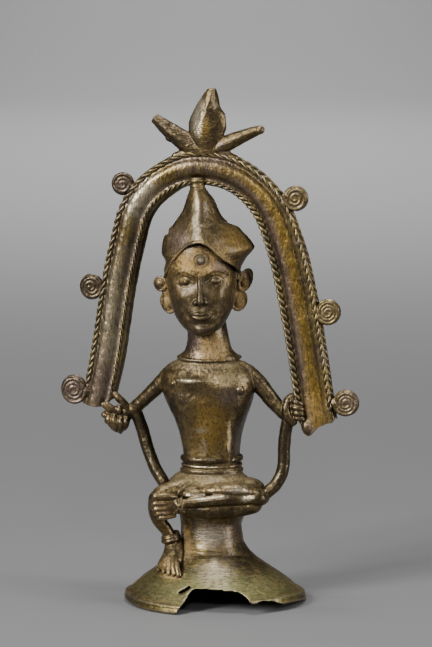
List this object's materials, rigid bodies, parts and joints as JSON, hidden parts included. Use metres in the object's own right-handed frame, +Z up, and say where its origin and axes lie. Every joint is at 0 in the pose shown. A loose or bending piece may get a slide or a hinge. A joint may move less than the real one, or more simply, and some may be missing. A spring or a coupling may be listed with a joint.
{
  "type": "bronze figure",
  "caption": "Seated lost-wax figure in a pointed cap, holding a roped arch with scrolls and a bud finial, on a hollow bell-shaped foot broken at the front.",
  "frame": {"origin": "on the standing plane, under the middle of the object's box", "axes": "+Z up, -Y the way the figure faces, +X to the viewer's right"},
  "size_m": [0.1161, 0.0687, 0.2],
  "materials": {
    "bronze": "old bronze, brown and olive, with pale dust in the hollows, worn high spots and green tarnish on the foot"
  },
  "bodies": {
    "root": {"figure": "bronze"}
  },
  "joints": []
}
